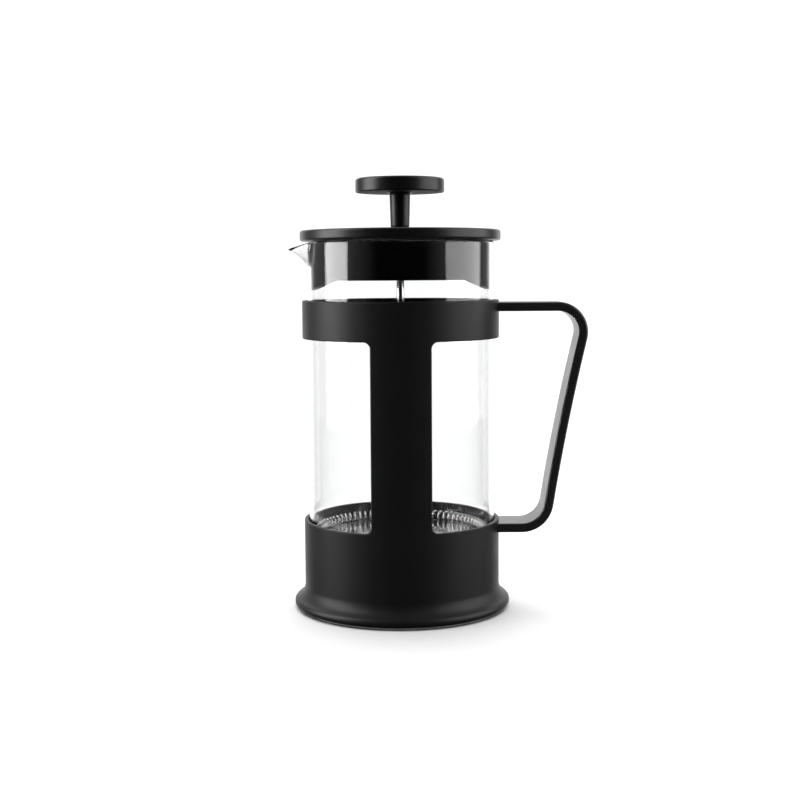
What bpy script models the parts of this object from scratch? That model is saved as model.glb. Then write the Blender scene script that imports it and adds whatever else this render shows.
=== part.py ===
"""A one litre coffee press: plastic frame and handle, glass beaker, lid with its strainer, and plunger.

Metres, +Z up. The origin is the centre of the frame's underside. The handle points to +X, the spout
to -X. The plunger is all the way down, so its knob rests on the lid.
"""

import math

import bmesh
import bpy
from mathutils import Matrix, Vector

# Shared sizes
GAP = 0.0003  # clearance between pieces that meet
WIDE_SEGMENTS = 48
NARROW_SEGMENTS = 20
KNOB_SEGMENTS = 36

# Glass beaker
BEAKER_R = 0.0480
BEAKER_WALL = 0.0018
BEAKER_FLOOR = 0.0026
BEAKER_CORNER_R = 0.0090
BEAKER_RIM_Z = 0.1883
SPOUT_ROOT_Z = 0.1750
SPOUT_REACH = 0.0100
SPOUT_DROP = 0.0034
SPOUT_HALF_ANGLE = math.radians(24.0)

# Plastic frame: foot, base cup, two struts and the band round the beaker
FRAME_WALL = 0.0022
FRAME_R = BEAKER_R + GAP + FRAME_WALL
FRAME_FLOOR = 0.0024
CUP_RIM_Z = 0.0460
BAND_BOTTOM_Z = 0.1393
BAND_TOP_Z = 0.1588
STRUT_HALF_WIDTH = 0.0149
WINDOW_CORNER_R = 0.0032
EDGE_ROUND = 0.0006
FOOT_R = 0.0559
FOOT_LIP_R = 0.0026
FOOT_LIP_Z = 0.0031
FOOT_REST_R = 0.0528
FLARE_TOP_Z = 0.0122
FLARE_FILLET_R = 0.0078
FLARE_SLOPE = math.radians(57.7)  # from the vertical
FLOOR_PAD_R = 0.0140
FLOOR_RECESS = 0.0008
FLOOR_RING_INNER_R = 0.0462
FOOT_GROOVE = (0.0500, 0.0518, 0.0050)  # inner radius, outer radius, depth

# Handle: one flat strip, bent twice
STRIP_THICKNESS = 0.0047
STRIP_WIDTH = 0.0240
STRIP_EDGE_ROUND = 0.0013
UPPER_ARM_Z = 0.1552
LOWER_ARM_Z = 0.0417
HANDLE_REACH = 0.0951
UPPER_BEND_R = 0.0130
LOWER_BEND_R = 0.0139
LEAN_TOP = math.radians(13.3)
LEAN_BOTTOM = math.radians(9.0)

# Lid: cover, strainer and the bush that guides the rod
LID_R = 0.0513
LID_TOP_Z = 0.1942
LID_RIM_DEPTH = 0.0055
LID_SKIN = 0.0022
LID_RIM_WALL = 0.0021
LID_EDGE_ROUND = 0.0013
LID_BOSS_R = 0.0085
LID_BOSS_DEPTH = 0.0085
FLANGE_STEP = 0.0001  # how far the strainer's flange stands below the cover's rim
STRAINER_R = 0.0457
STRAINER_WALL = 0.0015
STRAINER_FLANGE = 0.0016
STRAINER_BOTTOM_Z = 0.1639
STRAINER_FRONT_Z = 0.1689
STRAINER_STEP_X = (0.0335, 0.0445)  # where the lower edge starts and stops sloping
SLOT_COUNT = 7
SLOT_PITCH = math.radians(5.6)
SLOT_WIDTH = 0.0020
SLOT_Z = (0.1700, 0.1850)
GUIDE_R = 0.0040
GUIDE_FLANGE_R = 0.0062
GUIDE_FLANGE = 0.0014

# Plunger: rod, knob and filter pack
ROD_R = 0.0020
ROD_BOTTOM_Z = 0.0274
ROD_TOP_Z = 0.2115
KNOB_R = 0.0227
KNOB_TOP_Z = 0.2205
KNOB_DISC = 0.0072
KNOB_EDGE_ROUND = 0.0015
KNOB_UNDER_ROUND = 0.0007
STEM_TOP_R = 0.00530
STEM_BOTTOM_R = 0.00485
STEM_END_R = 0.0022
INSERT_R = 0.0033
INSERT_LENGTH = 0.0080
PLATE_R = 0.0453
PLATE_Z = 0.0364
PLATE_THICKNESS = 0.0008
PLATE_HOLES = 6
PLATE_HOLE_RING_R = 0.0130
PLATE_HOLE_R = 0.0026
COLLAR_R = 0.0042
COLLAR_HEIGHT = 0.0030
SPRING_R = 0.0459
SPRING_TUBE_R = 0.00245
MESH_R = 0.0456
MESH_THICKNESS = 0.0006
CROSS_R = 0.0390
CROSS_RING = 0.0050
CROSS_HUB_R = 0.0090
CROSS_THICKNESS = 0.0012
CROSS_SPOKES = 6
CROSS_SPOKE_HALF = 0.0030
NUT_R = 0.0056
NUT_HEIGHT = 0.0055


def clear_scene():
    for item in list(bpy.data.objects):
        bpy.data.objects.remove(item, do_unlink=True)


def material(name, colour, roughness, metallic=0.0, transmission=0.0):
    finish = bpy.data.materials.new(name)
    finish.use_nodes = True
    shader = finish.node_tree.nodes["Principled BSDF"]
    shader.inputs["Base Color"].default_value = (*colour, 1.0)
    shader.inputs["Roughness"].default_value = roughness
    shader.inputs["Metallic"].default_value = metallic
    shader.inputs["Transmission Weight"].default_value = transmission
    return finish


def group(name, height):
    """An empty on the press's axis that carries the pieces that move together."""
    empty = bpy.data.objects.new(name, None)
    empty.location = (0.0, 0.0, height)
    bpy.context.scene.collection.objects.link(empty)
    return empty


def place(name, shape, finish, carrier=None):
    """Turns a bmesh in world coordinates into an object, carried by an empty where one is given."""
    bmesh.ops.recalc_face_normals(shape, faces=shape.faces)
    mesh = bpy.data.meshes.new(name)
    shape.to_mesh(mesh)
    shape.free()
    mesh.shade_smooth()
    mesh.set_sharp_from_angle(angle=math.radians(35.0))
    piece = bpy.data.objects.new(name, mesh)
    bpy.context.scene.collection.objects.link(piece)
    piece.data.materials.append(finish)
    if carrier:
        mesh.transform(Matrix.Translation(-carrier.location))
        piece.parent = carrier
    return piece


def arc(centre_r, centre_z, radius, start, end, steps):
    """Points on an arc from one angle to another, in degrees, both ends included."""
    angles = [math.radians(start + (end - start) * i / steps) for i in range(steps + 1)]
    return [(centre_r + radius * math.cos(a), centre_z + radius * math.sin(a)) for a in angles]


def turned(outline, segments):
    """Spins an outline of (radius, height) points about Z, closed unless both its ends are on the axis."""
    shape = bmesh.new()
    points = [shape.verts.new((radius, 0.0, height)) for radius, height in outline]
    edges = [shape.edges.new(pair) for pair in zip(points, points[1:])]
    if outline[0][0] > 0.0 or outline[-1][0] > 0.0:
        edges.append(shape.edges.new((points[-1], points[0])))
    bmesh.ops.spin(
        shape, geom=points + edges, cent=(0.0, 0.0, 0.0), axis=(0.0, 0.0, 1.0),
        angle=2.0 * math.pi, steps=segments, use_merge=True,
    )
    bmesh.ops.remove_doubles(shape, verts=shape.verts, dist=1e-6)
    return shape


def prism(shape, corners, along):
    """Adds a prism to a bmesh: a flat outline of corners, pushed along a vector."""
    base = shape.faces.new([shape.verts.new(corner) for corner in corners])
    pushed = bmesh.ops.extrude_face_region(shape, geom=[base])["geom"]
    moved = [item for item in pushed if isinstance(item, bmesh.types.BMVert)]
    bmesh.ops.translate(shape, verts=moved, vec=along)


def cut(piece, name, shape):
    """Cuts a bmesh out of an object with a Boolean modifier, and keeps the cutter as a hidden guide."""
    cutter = place(name, shape, piece.data.materials[0])
    cutter.hide_render = True
    cutter.display_type = "WIRE"
    boolean = piece.modifiers.new(name, "BOOLEAN")
    boolean.operation = "DIFFERENCE"
    boolean.solver = "EXACT"
    boolean.object = cutter


def rounded_rectangle(low, high, radius, steps=4):
    """Corner points of a rounded rectangle, anticlockwise."""
    sharp = ((high[0], high[1]), (low[0], high[1]), (low[0], low[1]), (high[0], low[1]))
    corners = []
    for index, (x, z) in enumerate(sharp):
        centre_x = x - math.copysign(radius, x - (low[0] + high[0]) / 2.0)
        centre_z = z - math.copysign(radius, z - (low[1] + high[1]) / 2.0)
        corners += arc(centre_x, centre_z, radius, 90.0 * index, 90.0 * (index + 1), steps)
    return corners


def foot_outline():
    """The flared foot, from the resting edge up to the cup wall."""
    slope = math.degrees(FLARE_SLOPE)
    lip = arc(FOOT_R - FOOT_LIP_R, FOOT_LIP_Z, FOOT_LIP_R, -50.0, slope, 5)
    fillet = arc(FRAME_R + FLARE_FILLET_R, FLARE_TOP_Z, FLARE_FILLET_R, 180.0 + slope, 180.0, 5)
    return [(FOOT_REST_R, 0.0), *lip, *fillet]


def frame_outline():
    inner = FRAME_R - FRAME_WALL
    groove_inner, groove_outer, groove_depth = FOOT_GROOVE
    underside = [
        (0.0, 0.0),
        (FLOOR_PAD_R, 0.0),
        (FLOOR_PAD_R + FLOOR_RECESS, FLOOR_RECESS),
        (FLOOR_RING_INNER_R - FLOOR_RECESS, FLOOR_RECESS),
        (FLOOR_RING_INNER_R, 0.0),
        (groove_inner, 0.0),
        (groove_inner + EDGE_ROUND, groove_depth),
        (groove_outer + EDGE_ROUND, groove_depth),
        (groove_outer, 0.0),
    ]
    rim = [
        (FRAME_R, BAND_TOP_Z - EDGE_ROUND),
        (FRAME_R - EDGE_ROUND, BAND_TOP_Z),
        (inner + EDGE_ROUND, BAND_TOP_Z),
        (inner, BAND_TOP_Z - EDGE_ROUND),
    ]
    floor_fillet = 0.5 * BEAKER_CORNER_R
    corner = arc(inner - floor_fillet, FRAME_FLOOR + floor_fillet, floor_fillet, 0.0, -90.0, 3)
    return [*underside, *foot_outline(), *rim, *corner, (0.0, FRAME_FLOOR)]


def make_frame(plastic):
    frame = place("frame", turned(frame_outline(), WIDE_SEGMENTS), plastic)
    windows = bmesh.new()
    far = 2.0 * FRAME_R
    for side in (-1.0, 1.0):
        low, high = sorted((side * STRUT_HALF_WIDTH, side * far))
        outline = rounded_rectangle((low, CUP_RIM_Z), (high, BAND_BOTTOM_Z), WINDOW_CORNER_R)
        prism(windows, [(x, -far, z) for x, z in outline], (0.0, 2.0 * far, 0.0))
    cut(frame, "window_cutter", windows)


def walk(start, runs):
    """Follows arcs from a start point. Each run is its length, its clockwise turn and its steps.

    Returns the points (x, z) with the headings there, clockwise from +X.
    """
    x, z = start
    heading = 0.0
    path = [(x, z, heading)]
    for length, turn, steps in runs:
        half = 0.5 * turn / steps
        chord = length / steps * (math.sin(half) / half if half else 1.0)
        for _ in range(steps):
            x += chord * math.cos(heading + half)
            z -= chord * math.sin(heading + half)
            heading += 2.0 * half
            path.append((x, z, heading))
    return path


def handle_path():
    """Centre line of the strip: upper arm, bend, slightly bowed grip, bend, lower arm."""
    start_x = FRAME_R - 2.0 * STRIP_THICKNESS
    bend_start_x = HANDLE_REACH - 0.5 * STRIP_THICKNESS - UPPER_BEND_R
    upper_turn = 0.5 * math.pi + LEAN_TOP
    lower_turn = 0.5 * math.pi - LEAN_BOTTOM
    upper_drop = UPPER_BEND_R * (1.0 + math.sin(LEAN_TOP))
    lower_drop = LOWER_BEND_R * (1.0 - math.sin(LEAN_BOTTOM))
    grip_drop = UPPER_ARM_Z - LOWER_ARM_Z - upper_drop - lower_drop
    bow = LEAN_TOP - LEAN_BOTTOM
    grip_r = grip_drop / (math.sin(LEAN_TOP) - math.sin(LEAN_BOTTOM))
    grip_inset = grip_r * (math.cos(LEAN_BOTTOM) - math.cos(LEAN_TOP))
    bend_end_x = bend_start_x + UPPER_BEND_R * math.cos(LEAN_TOP)
    lower_arm = bend_end_x - grip_inset - LOWER_BEND_R * math.cos(LEAN_BOTTOM) - start_x
    return walk((start_x, UPPER_ARM_Z), (
        (bend_start_x - start_x, 0.0, 1),
        (UPPER_BEND_R * upper_turn, upper_turn, 9),
        (grip_r * bow, -bow, 4),
        (LOWER_BEND_R * lower_turn, lower_turn, 7),
        (lower_arm, 0.0, 1),
    ))


def make_handle(plastic):
    half = 0.5 * STRIP_THICKNESS
    path = handle_path()
    outer = [(x + half * math.sin(h), z + half * math.cos(h)) for x, z, h in path]
    inner = [(x - half * math.sin(h), z - half * math.cos(h)) for x, z, h in path]
    strip = bmesh.new()
    side = [(x, -0.5 * STRIP_WIDTH, z) for x, z in outer + inner[::-1]]
    prism(strip, side, (0.0, STRIP_WIDTH, 0.0))
    handle = place("handle", strip, plastic)
    rounding = handle.modifiers.new("edge_round", "BEVEL")
    rounding.width = STRIP_EDGE_ROUND
    rounding.segments = 2
    rounding.limit_method = "ANGLE"
    rounding.angle_limit = math.radians(40.0)
    clear_r = FRAME_R + GAP
    body = turned([(0.0, 0.0), (clear_r, 0.0), (clear_r, LID_TOP_Z), (0.0, LID_TOP_Z)], 2 * WIDE_SEGMENTS)
    cut(handle, "frame_clearance", body)


def beaker_outline():
    """Outer wall up to the rim, then the inner wall down to the floor."""
    inner_r = BEAKER_R - BEAKER_WALL
    inner_corner = BEAKER_CORNER_R - BEAKER_WALL
    bottom = FRAME_FLOOR + GAP
    rim_r = 0.5 * BEAKER_WALL
    spout_levels = [SPOUT_ROOT_Z + (BEAKER_RIM_Z - rim_r - SPOUT_ROOT_Z) * i / 4 for i in range(4)]
    outside = arc(BEAKER_R - BEAKER_CORNER_R, bottom + BEAKER_CORNER_R, BEAKER_CORNER_R, -90.0, 0.0, 4)
    rim = arc(BEAKER_R - rim_r, BEAKER_RIM_Z - rim_r, rim_r, 0.0, 180.0, 4)
    inside = arc(inner_r - inner_corner, bottom + BEAKER_FLOOR + inner_corner, inner_corner, 0.0, -90.0, 3)
    return [
        (0.0, bottom),
        *outside,
        *[(BEAKER_R, z) for z in spout_levels],
        *rim,
        *[(inner_r, z) for z in reversed(spout_levels)],
        *inside,
        (0.0, bottom + BEAKER_FLOOR),
    ]


def pull_spout(shape):
    """Draws the rim out and down into a pouring spout at -X."""
    for vert in shape.verts:
        off_axis = abs(math.atan2(vert.co.y, -vert.co.x)) / SPOUT_HALF_ANGLE
        rise = (vert.co.z - SPOUT_ROOT_Z) / (BEAKER_RIM_Z - SPOUT_ROOT_Z)
        if off_axis >= 1.0 or rise <= 0.0:
            continue
        pull = math.cos(0.5 * math.pi * off_axis) ** 2 * rise ** 1.2
        outward = Vector((vert.co.x, vert.co.y, 0.0)).normalized()
        vert.co += pull * (SPOUT_REACH * outward - Vector((0.0, 0.0, SPOUT_DROP)))


def make_beaker(glass, carrier):
    shape = turned(beaker_outline(), WIDE_SEGMENTS)
    pull_spout(shape)
    place("beaker", shape, glass, carrier)


def make_lid_cover(plastic, carrier):
    under_skin = LID_TOP_Z - LID_SKIN
    rim_bottom = LID_TOP_Z - LID_RIM_DEPTH
    bore = GUIDE_R + GAP
    edge = LID_EDGE_ROUND
    outline = [
        (bore, LID_TOP_Z),
        (bore, LID_TOP_Z - LID_BOSS_DEPTH),
        (LID_BOSS_R, LID_TOP_Z - LID_BOSS_DEPTH),
        (LID_BOSS_R, under_skin),
        (LID_R - LID_RIM_WALL, under_skin),
        (LID_R - LID_RIM_WALL, rim_bottom),
        *arc(LID_R - edge, rim_bottom + edge, edge, -90.0, 0.0, 2),
        *arc(LID_R - edge, LID_TOP_Z - edge, edge, 0.0, 90.0, 2),
    ]
    place("lid_cover", turned(outline, WIDE_SEGMENTS), plastic, carrier)


def strainer_edge_cutter():
    """Takes the lower edge up in front and behind, with a slope to the deeper sides."""
    inner_x, outer_x = STRAINER_STEP_X
    below = STRAINER_BOTTOM_Z - STRAINER_WALL
    reach = 2.0 * STRAINER_R
    outline = [
        (outer_x, below), (outer_x, STRAINER_BOTTOM_Z), (inner_x, STRAINER_FRONT_Z),
        (-inner_x, STRAINER_FRONT_Z), (-outer_x, STRAINER_BOTTOM_Z), (-outer_x, below),
    ]
    shape = bmesh.new()
    prism(shape, [(x, -reach, z) for x, z in outline], (0.0, 2.0 * reach, 0.0))
    return shape


def strainer_slot_cutter():
    """Upright slots through the wall that faces the spout."""
    shape = bmesh.new()
    low, high = SLOT_Z
    half = 0.5 * SLOT_WIDTH
    near, far = STRAINER_R - 2.0 * STRAINER_WALL, STRAINER_R + STRAINER_WALL
    for index in range(SLOT_COUNT):
        angle = math.pi + (index - 0.5 * (SLOT_COUNT - 1)) * SLOT_PITCH
        outward = Vector((math.cos(angle), math.sin(angle), 0.0))
        across = Vector((-outward.y, outward.x, 0.0)) * half
        upward = Vector((0.0, 0.0, low))
        inner = [near * outward - across + upward, near * outward + across + upward]
        outer = [far * outward + across + upward, far * outward - across + upward]
        prism(shape, inner + outer, (0.0, 0.0, high - low))
    return shape


def make_lid_strainer(plastic, carrier):
    flange_z = LID_TOP_Z - LID_RIM_DEPTH - FLANGE_STEP
    flange_r = LID_R - LID_RIM_WALL - GAP
    inner = STRAINER_R - STRAINER_WALL
    outline = [
        (inner, STRAINER_BOTTOM_Z),
        (STRAINER_R, STRAINER_BOTTOM_Z),
        (STRAINER_R, flange_z),
        (flange_r, flange_z),
        (flange_r, flange_z + STRAINER_FLANGE),
        (inner, flange_z + STRAINER_FLANGE),
    ]
    strainer = place("lid_strainer", turned(outline, WIDE_SEGMENTS), plastic, carrier)
    cut(strainer, "lower_edge_cutter", strainer_edge_cutter())
    cut(strainer, "slot_cutter", strainer_slot_cutter())


def make_rod_guide(plastic, carrier):
    """A flanged bush: the rod slides in it and the lid cover turns on it."""
    bore = ROD_R + GAP
    flange_top = LID_TOP_Z - LID_BOSS_DEPTH - GAP
    outline = [
        (bore, flange_top - GUIDE_FLANGE),
        (GUIDE_FLANGE_R, flange_top - GUIDE_FLANGE),
        (GUIDE_FLANGE_R, flange_top),
        (GUIDE_R, flange_top),
        (GUIDE_R, LID_TOP_Z),
        (bore, LID_TOP_Z),
    ]
    place("rod_guide", turned(outline, NARROW_SEGMENTS), plastic, carrier)


def make_knob(plastic, carrier):
    """A flat disc on a tapered stem, with a stepped blind hole for the insert and the rod's end."""
    disc_bottom = KNOB_TOP_Z - KNOB_DISC
    stem_bottom = LID_TOP_Z + GAP
    edge = KNOB_EDGE_ROUND
    under = KNOB_UNDER_ROUND
    hole_r = INSERT_R + GAP
    insert_top = ROD_TOP_Z - GAP
    outline = [
        (0.0, ROD_TOP_Z + GAP),
        (ROD_R + GAP, ROD_TOP_Z + GAP),
        (ROD_R + GAP, insert_top),
        (hole_r, insert_top),
        (hole_r, insert_top - INSERT_LENGTH - 2.0 * GAP),
        (ROD_R + GAP, insert_top - INSERT_LENGTH - 2.0 * GAP),
        (ROD_R + GAP, stem_bottom),
        *arc(STEM_BOTTOM_R - STEM_END_R, stem_bottom + STEM_END_R, STEM_END_R, -90.0, 0.0, 2),
        (STEM_TOP_R, disc_bottom - edge),
        (STEM_TOP_R + edge, disc_bottom),
        *arc(KNOB_R - under, disc_bottom + under, under, -90.0, 0.0, 2),
        *arc(KNOB_R - edge, KNOB_TOP_Z - edge, edge, 0.0, 90.0, 2),
        (0.0, KNOB_TOP_Z),
    ]
    place("knob", turned(outline, KNOB_SEGMENTS), plastic, carrier)


def make_ring(name, inner_r, outer_r, low, high, segments, finish, carrier):
    outline = [(inner_r, low), (outer_r, low), (outer_r, high), (inner_r, high)]
    return place(name, turned(outline, segments), finish, carrier)


def make_knob_insert(brass, carrier):
    top = ROD_TOP_Z - 2.0 * GAP
    make_ring("knob_insert", ROD_R + GAP, INSERT_R, top - INSERT_LENGTH, top, NARROW_SEGMENTS, brass, carrier)


def make_plunger_rod(steel, carrier):
    chamfer = 0.25 * ROD_R
    outline = [
        (0.0, ROD_BOTTOM_Z),
        (ROD_R - chamfer, ROD_BOTTOM_Z),
        (ROD_R, ROD_BOTTOM_Z + chamfer),
        (ROD_R, ROD_TOP_Z - chamfer),
        (ROD_R - chamfer, ROD_TOP_Z),
        (0.0, ROD_TOP_Z),
    ]
    place("plunger_rod", turned(outline, NARROW_SEGMENTS), steel, carrier)


def make_rod_collar(steel, carrier):
    low = PLATE_Z + PLATE_THICKNESS + GAP
    make_ring("rod_collar", ROD_R + GAP, COLLAR_R, low, low + COLLAR_HEIGHT, NARROW_SEGMENTS, steel, carrier)


def plate_hole_cutter(low, high, sides=12):
    """Round holes on a ring about the axis, run through from low to high."""
    shape = bmesh.new()
    for index in range(PLATE_HOLES):
        angle = 2.0 * math.pi * index / PLATE_HOLES
        centre_x = PLATE_HOLE_RING_R * math.cos(angle)
        centre_y = PLATE_HOLE_RING_R * math.sin(angle)
        rim = arc(centre_x, centre_y, PLATE_HOLE_R, 0.0, 360.0, sides)[:-1]
        prism(shape, [(x, y, low) for x, y in rim], (0.0, 0.0, high - low))
    return shape


def make_spiral_plate(steel, carrier):
    """The plate whose rim carries the coil spring, with holes that let the coffee through."""
    top = PLATE_Z + PLATE_THICKNESS
    plate = make_ring("spiral_plate", ROD_R + GAP, PLATE_R, PLATE_Z, top, WIDE_SEGMENTS, steel, carrier)
    cut(plate, "hole_cutter", plate_hole_cutter(PLATE_Z - PLATE_THICKNESS, top + PLATE_THICKNESS))


def make_spring_coil(steel, carrier):
    """The coil spring round the plate's rim, as the ring that its turns fill."""
    centre_z = PLATE_Z + PLATE_THICKNESS + GAP + SPRING_TUBE_R
    outline = arc(SPRING_R - SPRING_TUBE_R, centre_z, SPRING_TUBE_R, 0.0, 315.0, 7)
    place("spring_coil", turned(outline, WIDE_SEGMENTS), steel, carrier)


def mesh_top():
    return PLATE_Z - GAP


def make_filter_mesh(steel, carrier):
    low = mesh_top() - MESH_THICKNESS
    make_ring("filter_mesh", ROD_R + GAP, MESH_R, low, mesh_top(), WIDE_SEGMENTS, steel, carrier)


def cross_top():
    return mesh_top() - MESH_THICKNESS - GAP


def spoke_window_cutter(low, high):
    """The openings between the spokes of the cross plate."""
    shape = bmesh.new()
    inner_r, outer_r = CROSS_HUB_R, CROSS_R - CROSS_RING
    step = 2.0 * math.pi / CROSS_SPOKES
    for index in range(CROSS_SPOKES):
        corners = []
        for radius, direction in ((inner_r, 1.0), (outer_r, -1.0)):
            half = 0.5 * step - math.asin(CROSS_SPOKE_HALF / radius)
            sweep = [index * step + direction * half * (1.0 - 2.0 * i / 6) for i in range(7)]
            corners += [(radius * math.cos(a), radius * math.sin(a), low) for a in sweep]
        prism(shape, corners, (0.0, 0.0, high - low))
    return shape


def make_cross_plate(steel, carrier):
    """The spoked plate that holds the mesh up against the spiral plate."""
    low, high = cross_top() - CROSS_THICKNESS, cross_top()
    plate = make_ring("cross_plate", ROD_R + GAP, CROSS_R, low, high, WIDE_SEGMENTS, steel, carrier)
    cut(plate, "spoke_window_cutter", spoke_window_cutter(low - CROSS_THICKNESS, high + CROSS_THICKNESS))


def make_hub_nut(steel, carrier):
    """The round threaded hub on the rod's end, which clamps the pack against the collar."""
    high = cross_top() - CROSS_THICKNESS - GAP
    make_ring("hub_nut", ROD_R + GAP, NUT_R, high - NUT_HEIGHT, high, NARROW_SEGMENTS, steel, carrier)


def main():
    clear_scene()
    matte_black = material("matte_black_plastic", (0.012, 0.012, 0.013), 0.42)
    gloss_black = material("gloss_black_plastic", (0.009, 0.009, 0.010), 0.24)
    glass = material("borosilicate_glass", (0.96, 0.98, 0.98), 0.03, transmission=1.0)
    steel = material("stainless_steel", (0.62, 0.62, 0.63), 0.24, metallic=1.0)
    brass = material("brass", (0.78, 0.60, 0.30), 0.30, metallic=1.0)
    beaker_group = group("beaker_group", FRAME_FLOOR)
    lid_group = group("lid_group", LID_TOP_Z)
    plunger_group = group("plunger_group", PLATE_Z)
    make_frame(matte_black)
    make_handle(gloss_black)
    make_beaker(glass, beaker_group)
    make_lid_cover(gloss_black, lid_group)
    make_lid_strainer(gloss_black, lid_group)
    make_rod_guide(matte_black, lid_group)
    make_knob(gloss_black, plunger_group)
    make_knob_insert(brass, plunger_group)
    make_plunger_rod(steel, plunger_group)
    make_rod_collar(steel, plunger_group)
    make_spiral_plate(steel, plunger_group)
    make_spring_coil(steel, plunger_group)
    make_filter_mesh(steel, plunger_group)
    make_cross_plate(steel, plunger_group)
    make_hub_nut(steel, plunger_group)


main()
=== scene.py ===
"""The look of a one litre coffee press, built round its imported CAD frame.

Metres, +Z up. The handle points to +X, the spout to -X, and the camera looks along +Y.
"""

import math

import bmesh
import bpy
from mathutils import Matrix, Vector


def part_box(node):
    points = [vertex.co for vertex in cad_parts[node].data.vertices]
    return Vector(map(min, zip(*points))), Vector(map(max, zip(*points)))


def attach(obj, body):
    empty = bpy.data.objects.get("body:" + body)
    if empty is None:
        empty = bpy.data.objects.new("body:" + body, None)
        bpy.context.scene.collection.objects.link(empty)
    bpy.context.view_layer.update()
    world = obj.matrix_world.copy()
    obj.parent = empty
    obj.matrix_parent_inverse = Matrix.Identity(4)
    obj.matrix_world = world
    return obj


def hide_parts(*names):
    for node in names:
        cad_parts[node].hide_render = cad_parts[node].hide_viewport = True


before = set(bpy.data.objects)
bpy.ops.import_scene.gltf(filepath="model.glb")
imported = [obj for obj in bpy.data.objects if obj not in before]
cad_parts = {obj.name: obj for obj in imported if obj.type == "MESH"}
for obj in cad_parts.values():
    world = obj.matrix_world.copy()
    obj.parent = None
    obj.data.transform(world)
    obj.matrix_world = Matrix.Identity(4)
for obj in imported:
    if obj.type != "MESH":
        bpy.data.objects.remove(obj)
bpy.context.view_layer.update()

# Glass beaker
BEAKER_R = 0.0480
BEAKER_WALL = 0.0018
BEAKER_FLOOR = 0.0026
BEAKER_CORNER_R = 0.0090
BEAKER_BOTTOM_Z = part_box("beaker")[0].z
BEAKER_RIM_Z = 0.1883
SPOUT_ROOT_Z = 0.1750
SPOUT_REACH = 0.0100
SPOUT_DROP = 0.0034
SPOUT_HALF_ANGLE = math.radians(24.0)

# Frame
FRAME_R = 0.0505
FRAME_INNER_R = 0.0483
FRAME_FLOOR = 0.0024
CUP_RIM_Z = 0.0460
BAND_BOTTOM_Z = 0.1393
BAND_TOP_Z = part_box("frame")[1].z
STRUT_HALF_WIDTH = 0.0149
WINDOW_CORNER_R = 0.0032
FRAME_EDGE = 0.0006
FOOT_R = 0.0559
FOOT_LIP_R = 0.0026
FOOT_LIP_Z = 0.0031
FOOT_REST_R = 0.0528
FLARE_TOP_Z = 0.0122
FLARE_FILLET_R = 0.0078
FLARE_SLOPE = 57.7  # degrees from the vertical
FLOOR_FILLET = 0.0045
UNDERSIDE = (
    (0.0000, 0.0000), (0.0140, 0.0000), (0.0148, 0.0008), (0.0454, 0.0008), (0.0462, 0.0000),
    (0.0500, 0.0000), (0.0506, 0.0050), (0.0524, 0.0050), (0.0518, 0.0000),
)

# Handle
STRIP_THICKNESS = 0.0047
STRIP_WIDTH = 0.0240
STRIP_EDGE = 0.0013
UPPER_ARM_Z = 0.1552
LOWER_ARM_Z = 0.0417
HANDLE_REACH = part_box("handle")[1].x
UPPER_BEND_R = 0.0130
LOWER_BEND_R = 0.0139
LEAN_TOP = math.radians(13.3)
LEAN_BOTTOM = math.radians(9.0)
SEAT_DEPTH = 0.0002  # how far the arms' ends sink into the frame's wall

# Lid
LID_R = 0.0513
LID_TOP_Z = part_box("lid_cover")[1].z
LID_RIM_DEPTH = 0.0055
LID_SKIN = 0.0022
LID_RIM_WALL = 0.0021
LID_EDGE = 0.0013
STRAINER_R = 0.0457
STRAINER_WALL = 0.0015
STRAINER_BOTTOM_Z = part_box("lid_strainer")[0].z
STRAINER_FRONT_RISE = 0.0050
STRAINER_STEP_X = (0.0335, 0.0445)
STRAINER_TOP_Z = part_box("lid_strainer")[1].z
FLANGE_R = 0.0489
FLANGE = 0.0016
FLANGE_CORNER_R = 0.0004
SLOT_COUNT = 7
SLOT_PITCH = math.radians(5.6)
SLOT_WIDTH = 0.0020
SLOT_Z = (0.1700, 0.1850)

# Plunger
ROD_R = 0.0020
KNOB_R = 0.0227
KNOB_DISC = 0.0072
KNOB_EDGE = 0.0015
KNOB_UNDER_EDGE = 0.0007
KNOB_TOP_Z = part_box("knob")[1].z
KNOB_BOTTOM_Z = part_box("knob")[0].z
STEM_TOP_R = 0.00530
STEM_BOTTOM_R = 0.00485
STEM_END_R = 0.0022
SPRING_TURNS = 80
SPRING_R = 0.0459
SPRING_TUBE_R = 0.00245
WIRE_R = 0.00046
BORE_R = 0.0023  # holes of the parts that the rod passes through
PLATE_R = 0.0453
PLATE_EDGE_R = 0.0004
PLATE_HOLES = 6
PLATE_HOLE_R = 0.0026
PLATE_HOLE_RING_R = 0.0130
PLATE_SLOT = (0.0020, 0.0012)  # along and across the radius
PLATE_SLOT_CORNER_R = 0.0005
PLATE_SLOT_RING_R = 0.0411
CROSS_R = 0.0390
CROSS_HUB_R = 0.0090
CROSS_RIM = 0.0050
CROSS_SPOKES = 6
CROSS_SPOKE_WIDTH = 0.0060

# Studio: a softbox is its size and its brightness
FLOOR_R = 0.30
FLOOR_Z = -0.0002
SOFTBOX_ANGLE = math.radians(84.5)  # from the camera's side, to the left and to the right
SOFTBOX_REACH = 1.2
SOFTBOX_Z = 0.58
SOFTBOX_TARGET = (0.0, 0.0, 0.12)
LEFT_SOFTBOX = ((0.87, 1.4), 5.9)
RIGHT_SOFTBOX = ((1.45, 1.4), 2.6)
TOP_SOFTBOX = ((3.4, 3.4), 1.9)
TOP_SOFTBOX_PLACE = (0.0, 0.3, 1.7)
TOP_SOFTBOX_TARGET = (0.0, 0.3, 0.0)

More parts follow.
